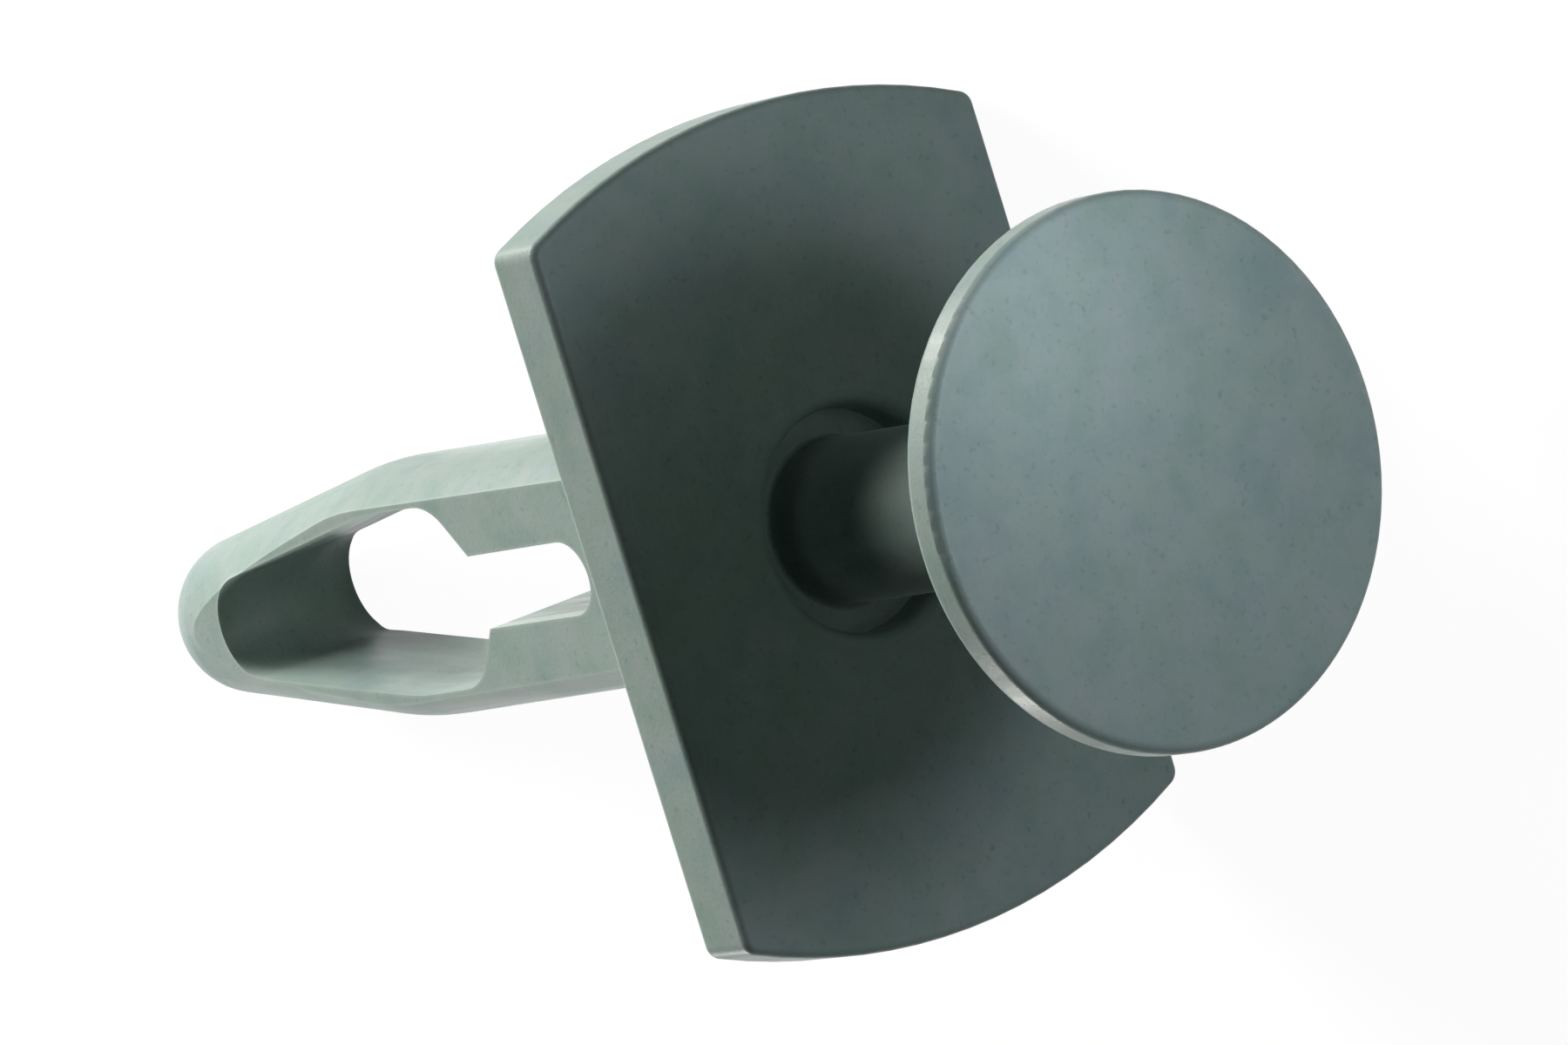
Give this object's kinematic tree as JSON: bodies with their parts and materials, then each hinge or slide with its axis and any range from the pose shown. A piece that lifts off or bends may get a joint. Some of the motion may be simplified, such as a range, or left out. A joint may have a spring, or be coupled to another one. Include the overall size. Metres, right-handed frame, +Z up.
{
  "type": "car body rivet",
  "caption": "One-piece moulded push-in rivet: thin round head, round neck, plate flange with straight sides and bowed ends, and a slotted snap leg with a ball nose.",
  "frame": {"origin": "middle of the footprint, on the surface that the rivet lies on", "axes": "+Z up. The rivet lies on one flat of its flange and its nose, its axis in the YZ plane: the head faces -Y and 10.3 degrees up, the nose points to +Y. X runs along the flange's flats."},
  "size_m": [0.0254, 0.0522, 0.0193],
  "materials": {
    "rivet_plastic": "satin moulded, grey with a green cast"
  },
  "bodies": {
    "root": {"push_rivet": "rivet_plastic"}
  },
  "joints": []
}
